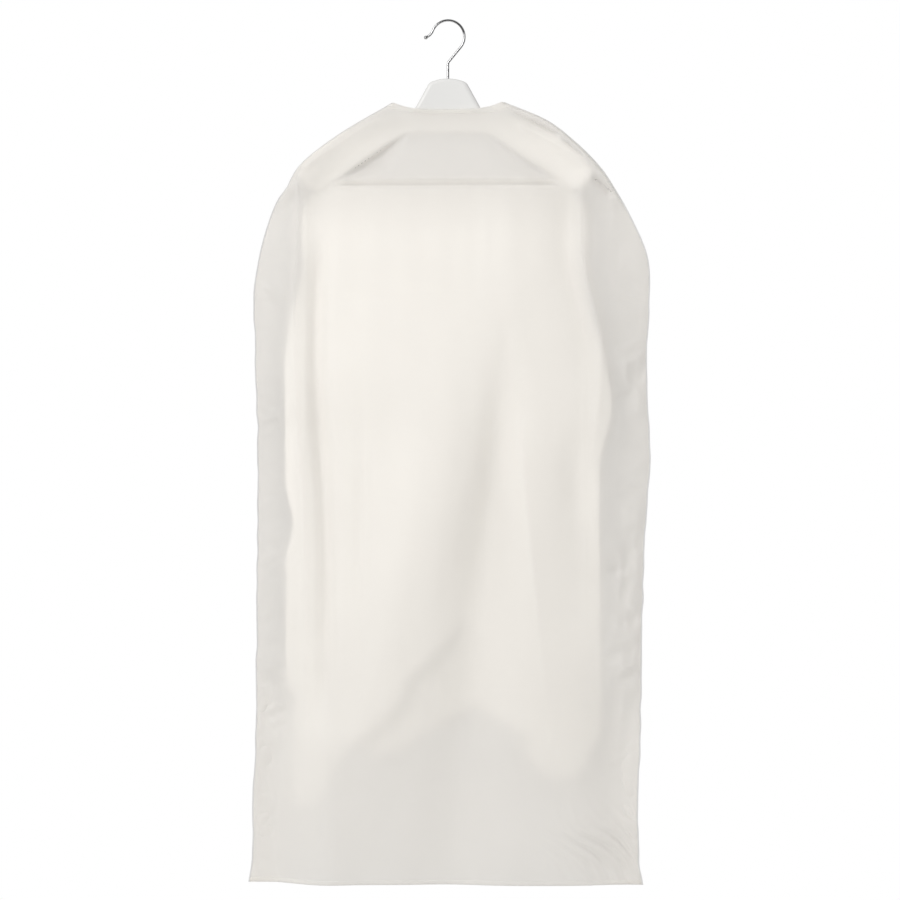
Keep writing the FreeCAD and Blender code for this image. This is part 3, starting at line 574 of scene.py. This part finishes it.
class Paint:
    """A node material being built: a Principled surface and the helpers that feed it."""

    def __init__(self, name):
        self.material = bpy.data.materials.new(name)
        self.material.use_nodes = True
        self.tree = self.material.node_tree
        self.surface = self.tree.nodes["Principled BSDF"]
        self.output = self.tree.nodes["Material Output"]
        self.coordinates = self.add("ShaderNodeTexCoord").outputs["Object"]

    def add(self, kind, **settings):
        node = self.tree.nodes.new(kind)
        for key, value in settings.items():
            setattr(node, key, value)
        return node

    def link(self, source, target):
        self.tree.links.new(source, target)

    def stretch(self, factors):
        node = self.add("ShaderNodeMapping")
        node.inputs["Scale"].default_value = factors
        self.link(self.coordinates, node.inputs["Vector"])
        return node.outputs["Vector"]

    def noise(self, scale, detail=3.0, vector=None):
        node = self.add("ShaderNodeTexNoise")
        node.inputs["Scale"].default_value = scale
        node.inputs["Detail"].default_value = detail
        self.link(vector or self.coordinates, node.inputs["Vector"])
        return node.outputs["Fac"]

    def between(self, value, low, high, from_low=0.3, from_high=0.7):
        node = self.add("ShaderNodeMapRange")
        node.inputs["From Min"].default_value = from_low
        node.inputs["From Max"].default_value = from_high
        node.inputs["To Min"].default_value = low
        node.inputs["To Max"].default_value = high
        self.link(value, node.inputs["Value"])
        return node.outputs["Result"]

    def tint(self, value, first, second):
        node = self.add("ShaderNodeMix", data_type="RGBA")
        colours = [socket for socket in node.inputs if socket.type == "RGBA"]
        colours[0].default_value = (*first, 1)
        colours[1].default_value = (*second, 1)
        self.link(value, node.inputs["Factor"])
        return [socket for socket in node.outputs if socket.type == "RGBA"][0]

    def relief(self, height, distance, strength=1.0):
        node = self.add("ShaderNodeBump")
        node.inputs["Distance"].default_value = distance
        node.inputs["Strength"].default_value = strength
        self.link(height, node.inputs["Height"])
        self.link(node.outputs["Normal"], self.surface.inputs["Normal"])

    def math(self, operation, *values):
        node = self.add("ShaderNodeMath", operation=operation)
        for index, value in enumerate(values):
            if isinstance(value, (int, float)):
                node.inputs[index].default_value = value
            else:
                self.link(value, node.inputs[index])
        return node.outputs[0]

    def by_height(self, low_z, high_z):
        """0 at and below low_z, 1 at and above high_z."""
        apart = self.add("ShaderNodeSeparateXYZ")
        self.link(self.coordinates, apart.inputs["Vector"])
        return self.between(apart.outputs["Z"], 0, 1, low_z, high_z)

    def see_through(self, opacity, seen_tint, glow, glow_share, blur):
        """Mixes the milky surface with what lies behind it, blurred only for the camera's eye."""
        through = self.add("ShaderNodeBsdfTranslucent")
        through.inputs["Color"].default_value = (*glow, 1)
        milky = self.add("ShaderNodeMixShader")
        milky.inputs["Fac"].default_value = glow_share
        self.link(self.surface.outputs["BSDF"], milky.inputs[1])
        self.link(through.outputs["BSDF"], milky.inputs[2])
        clear = self.add("ShaderNodeBsdfTransparent")
        clear.inputs["Color"].default_value = (*seen_tint, 1)
        blurred = self.add("ShaderNodeBsdfRefraction")
        blurred.inputs["Color"].default_value = (*seen_tint, 1)
        blurred.inputs["Roughness"].default_value = BLUR_ROUGHNESS
        blurred.inputs["IOR"].default_value = FILM_IOR
        path = self.add("ShaderNodeLightPath")
        seen = self.add("ShaderNodeMixShader")
        self.link(self.math("MULTIPLY", path.outputs["Is Camera Ray"], blur), seen.inputs["Fac"])
        self.link(clear.outputs["BSDF"], seen.inputs[1])
        self.link(blurred.outputs["BSDF"], seen.inputs[2])
        mix = self.add("ShaderNodeMixShader")
        self.link(opacity, mix.inputs["Fac"])
        self.link(seen.outputs["Shader"], mix.inputs[1])
        self.link(milky.outputs["Shader"], mix.inputs[2])
        self.link(mix.outputs["Shader"], self.output.inputs["Surface"])


def metal(name, first, second, roughness, grain):
    """Bare metal with a fine grain in its colour and its polish."""
    paint = Paint(name)
    fine = paint.noise(grain, 4)
    paint.link(paint.tint(fine, first, second), paint.surface.inputs["Base Color"])
    paint.link(paint.between(fine, roughness * 0.8, roughness * 1.3), paint.surface.inputs["Roughness"])
    paint.surface.inputs["Metallic"].default_value = 1
    paint.relief(fine, 0.00004)
    return paint.material


def lacquer(name):
    """White lacquer with a fine orange peel, and painted shade that greys it towards the top of the
    hub.
    """
    paint = Paint(name)
    broad = paint.noise(9, 2)
    orange_peel = paint.noise(700, 2, paint.stretch((1, 1, 0.7)))
    # painted shade: the lacquer is greyed by height towards the top of the hub, not a colour the paint
    # has
    crown_painted_shade = paint.by_height(-0.170, -0.105)
    shade = paint.math("MULTIPLY_ADD", broad, 0.2, crown_painted_shade)
    white = paint.tint(shade, (0.88, 0.87, 0.85), (0.68, 0.675, 0.66))
    paint.link(white, paint.surface.inputs["Base Color"])
    paint.link(paint.between(orange_peel, 0.30, 0.42), paint.surface.inputs["Roughness"])
    paint.surface.inputs["Coat Weight"].default_value = 0.25
    paint.surface.inputs["Coat Roughness"].default_value = 0.2
    paint.relief(orange_peel, 0.00003)
    return paint.material


def cotton(name):
    """White woven cotton, with painted shade that greys it in its fold over the bar."""
    paint = Paint(name)
    weave = []
    for direction in ("X", "Z"):
        wave = paint.add("ShaderNodeTexWave", bands_direction=direction)
        wave.inputs["Scale"].default_value = 420
        wave.inputs["Distortion"].default_value = 0.6
        paint.link(paint.coordinates, wave.inputs["Vector"])
        weave.append(wave.outputs["Fac"])
    threads = paint.math("ADD", weave[0], weave[1])
    slub = paint.noise(60, 4)
    # painted shade: the cloth is greyed by height just below the bar, where its fold lies in shade
    fold_painted_shade = paint.by_height(BAR_Z - 70 * MM, BAR_Z)
    shade = paint.math("MULTIPLY_ADD", slub, 0.2, fold_painted_shade)
    white = paint.tint(shade, (0.96, 0.95, 0.93), (0.80, 0.79, 0.77))
    paint.link(white, paint.surface.inputs["Base Color"])
    paint.surface.inputs["Roughness"].default_value = 0.9
    paint.surface.inputs["Sheen Weight"].default_value = 0.2
    paint.relief(threads, 0.00012, 0.6)
    return paint.material


def film(name, colour, thin, thick, clear_tint):
    """Milky film: part of what is behind shows, less at a slant and in its creases."""
    paint = Paint(name)
    cloud = paint.noise(14, 4)
    fine = paint.noise(240, 3)
    darker = tuple(channel * 0.97 for channel in colour)
    paint.link(paint.tint(cloud, darker, colour), paint.surface.inputs["Base Color"])
    paint.link(paint.between(fine, 0.34, 0.48), paint.surface.inputs["Roughness"])
    paint.surface.inputs["Specular IOR Level"].default_value = 0.35
    paint.relief(fine, 0.00005, 0.5)
    slant = paint.add("ShaderNodeLayerWeight")
    slant.inputs["Blend"].default_value = 0.35
    base = paint.between(cloud, thin, thick)
    opacity = paint.math("ADD", base, paint.math("MULTIPLY", slant.outputs["Facing"], 0.3))
    opacity = paint.math("MINIMUM", opacity, MOST_OPAQUE)
    paint.see_through(opacity, clear_tint, colour, FILM_GLOW_SHARE, FILM_BLUR_SHARE)
    return paint.material


def wear(piece, material):
    piece.data.materials.clear()
    piece.data.materials.append(material)


# --- build -------------------------------------------------------------------------------------

hem_share = HEM_WIDTH / LENGTH
pieces = {
    "front_film": build_film("front_film", FRONT, "cover_front_panel"),
    "back_film": build_film("back_film", BACK, "cover_back_panel"),
    "left_seam": build_side_seam("left_seam", LEFT, "left_edge_seam"),
    "right_seam": build_side_seam("right_seam", RIGHT, "right_edge_seam"),
    "front_neck_hem": build_hem("front_neck_hem", FRONT, "neck_hem_front", 0, hem_share),
    "back_neck_hem": build_hem("back_neck_hem", BACK, "neck_hem_back", 0, hem_share),
    "front_bottom_hem": build_hem("front_bottom_hem", FRONT, "bottom_hem_front", 1 - hem_share, 1),
    "back_bottom_hem": build_hem("back_bottom_hem", BACK, "bottom_hem_back", 1 - hem_share, 1),
    "hanging_cloth": build_cloth(),
}

milky_film = film("milky_film", (0.95, 0.935, 0.915), 0.345, 0.365, (0.985, 0.98, 0.97))
welded_film = film("welded_film", (0.98, 0.97, 0.95), 0.10, 0.13, (0.995, 0.993, 0.99))
for label, piece in pieces.items():
    if label.endswith("film"):
        wear(piece, milky_film)
    elif label != "hanging_cloth":
        wear(piece, welded_film)
wear(pieces["hanging_cloth"], cotton("white_cotton"))

bright_wire = metal("bright_wire", (0.70, 0.70, 0.71), (0.80, 0.80, 0.80), 0.12, 300)
satin_zinc = metal("satin_zinc", (0.58, 0.59, 0.61), (0.70, 0.70, 0.71), 0.32, 500)
white_lacquer = lacquer("white_lacquer")
for label, finish in (
    ("hook", bright_wire), ("hook_nut", satin_zinc), ("swivel_washer", satin_zinc),
    ("bar_pins", satin_zinc), ("hanger_body", white_lacquer), ("trouser_bar", white_lacquer),
):
    wear(nodes[label], finish)


# --- floor, light and camera -------------------------------------------------------------------

VIEW_CENTRE = Vector((2.7 * MM, 0, -577 * MM))
VIEW_WIDTH = 1212 * MM
CAMERA_DISTANCE = 7.0
CAMERA_TURN = math.radians(5)
SENSOR = 36.0
FLOOR_RADIUS = 1.5
FLOOR_CLEAR_FROM = 0.5
FLOOR_Z = -1.38


def build_floor():
    """A pale disc that fades away towards its rim."""
    bpy.ops.mesh.primitive_circle_add(
        vertices=128, radius=FLOOR_RADIUS, fill_type="NGON", location=(0, 0, FLOOR_Z))
    floor = bpy.context.object
    floor.name = "floor"
    paint = Paint("pale_floor")
    pale = paint.tint(paint.noise(3), (0.66, 0.66, 0.65), (0.69, 0.69, 0.68))
    paint.link(pale, paint.surface.inputs["Base Color"])
    paint.surface.inputs["Roughness"].default_value = 0.8
    reach = paint.add("ShaderNodeVectorMath", operation="LENGTH")
    paint.link(paint.coordinates, reach.inputs[0])
    clear = paint.add("ShaderNodeBsdfTransparent")
    fade = paint.add("ShaderNodeMixShader")
    gone = paint.between(reach.outputs["Value"], 0, 1, FLOOR_CLEAR_FROM, FLOOR_RADIUS)
    paint.link(gone, fade.inputs["Fac"])
    paint.link(paint.surface.outputs["BSDF"], fade.inputs[1])
    paint.link(clear.outputs["BSDF"], fade.inputs[2])
    paint.link(fade.outputs["Shader"], paint.output.inputs["Surface"])
    wear(floor, paint.material)


class Sky:
    """The world's nodes: the direction looked in, the kind of ray, and sums of the two."""

    def __init__(self):
        world = bpy.data.worlds.new("studio")
        bpy.context.scene.world = world
        world.use_nodes = True
        self.tree = world.node_tree
        self.background = self.tree.nodes["Background"]
        self.background.inputs["Color"].default_value = (1, 1, 1, 1)
        place = self.tree.nodes.new("ShaderNodeTexCoord")
        apart = self.tree.nodes.new("ShaderNodeSeparateXYZ")
        self.tree.links.new(place.outputs["Generated"], apart.inputs["Vector"])
        self.axes = apart.outputs
        self.path = self.tree.nodes.new("ShaderNodeLightPath").outputs

    def math(self, operation, *values, clamp=False):
        node = self.tree.nodes.new("ShaderNodeMath")
        node.operation = operation
        node.use_clamp = clamp
        for index, value in enumerate(values):
            if isinstance(value, (int, float)):
                node.inputs[index].default_value = value
            else:
                self.tree.links.new(value, node.inputs[index])
        return node.outputs[0]

    def choose(self, share, first, second):
        """first where share is 0, second where it is 1."""
        return self.math("ADD", self.math("MULTIPLY", share, second),
                         self.math("MULTIPLY", self.math("SUBTRACT", 1.0, share), first))


ROOM_LIGHT = 0.86
ROOM_TILT = (("X", -0.07), ("Y", -0.14), ("Z", 0.14))
FAR_RIGHT_LOSS = 0.18
MIRRORED_ROOM, MIRRORED_DARK = 0.26, 0.04
BACKDROP, BACKDROP_BEHIND_FILM = 1.0, 0.62


def build_world():
    """Soft light from the upper left front; metal mirrors a darker room; the backdrop is white."""
    sky = Sky()
    lit = ROOM_LIGHT
    for axis, weight in ROOM_TILT:
        lit = sky.math("MULTIPLY_ADD", sky.axes[axis], weight, lit)
    far_right = sky.math("MULTIPLY_ADD", sky.axes["X"], 2.5, -1.4, clamp=True)
    lit = sky.math("SUBTRACT", lit, sky.math("MULTIPLY", far_right, FAR_RIGHT_LOSS))
    dark_room = sky.math("MULTIPLY_ADD", sky.axes["Y"], -2.5, -1.2, clamp=True)
    mirrored = sky.choose(dark_room, MIRRORED_ROOM, MIRRORED_DARK)
    behind_film = sky.math("MINIMUM", sky.path["Transparent Depth"], 1.0)
    backdrop = sky.choose(behind_film, BACKDROP, BACKDROP_BEHIND_FILM)
    shown = sky.choose(sky.path["Is Glossy Ray"], lit, mirrored)
    scattered = sky.math("SUBTRACT", 1.0, sky.path["Is Diffuse Ray"])
    blurred = sky.math("MULTIPLY", sky.path["Is Transmission Ray"], scattered)
    shown = sky.choose(blurred, shown, BACKDROP_BEHIND_FILM)
    shown = sky.choose(sky.path["Is Camera Ray"], shown, backdrop)
    sky.tree.links.new(shown, sky.background.inputs["Strength"])


def build_lamp(name, place, aim, size, power):
    data = bpy.data.lights.new(name, "AREA")
    data.size = size
    data.energy = power
    lamp = bpy.data.objects.new(name, data)
    lamp.location = place
    lamp.rotation_euler = (Vector(aim) - Vector(place)).to_track_quat("-Z", "Y").to_euler()
    bpy.context.scene.collection.objects.link(lamp)


def build_camera():
    data = bpy.data.cameras.new("camera")
    data.sensor_width = SENSOR
    data.lens = SENSOR * CAMERA_DISTANCE / VIEW_WIDTH
    data.clip_end = 50
    camera = bpy.data.objects.new("camera", data)
    away = Vector((math.sin(CAMERA_TURN), -math.cos(CAMERA_TURN), 0))
    camera.location = VIEW_CENTRE + away * CAMERA_DISTANCE
    camera.rotation_euler = (-away).to_track_quat("-Z", "Y").to_euler()
    bpy.context.scene.collection.objects.link(camera)
    bpy.context.scene.camera = camera


build_floor()
build_world()
build_lamp("soft_key", (-1.3, -2.1, 0.55), (0, 0, -0.6), 1.2, 22)
build_camera()

scene = bpy.context.scene
scene.view_settings.view_transform = "Standard"
scene.view_settings.look = "None"
scene.cycles.transparent_max_bounces = 24
scene.cycles.max_bounces = 8
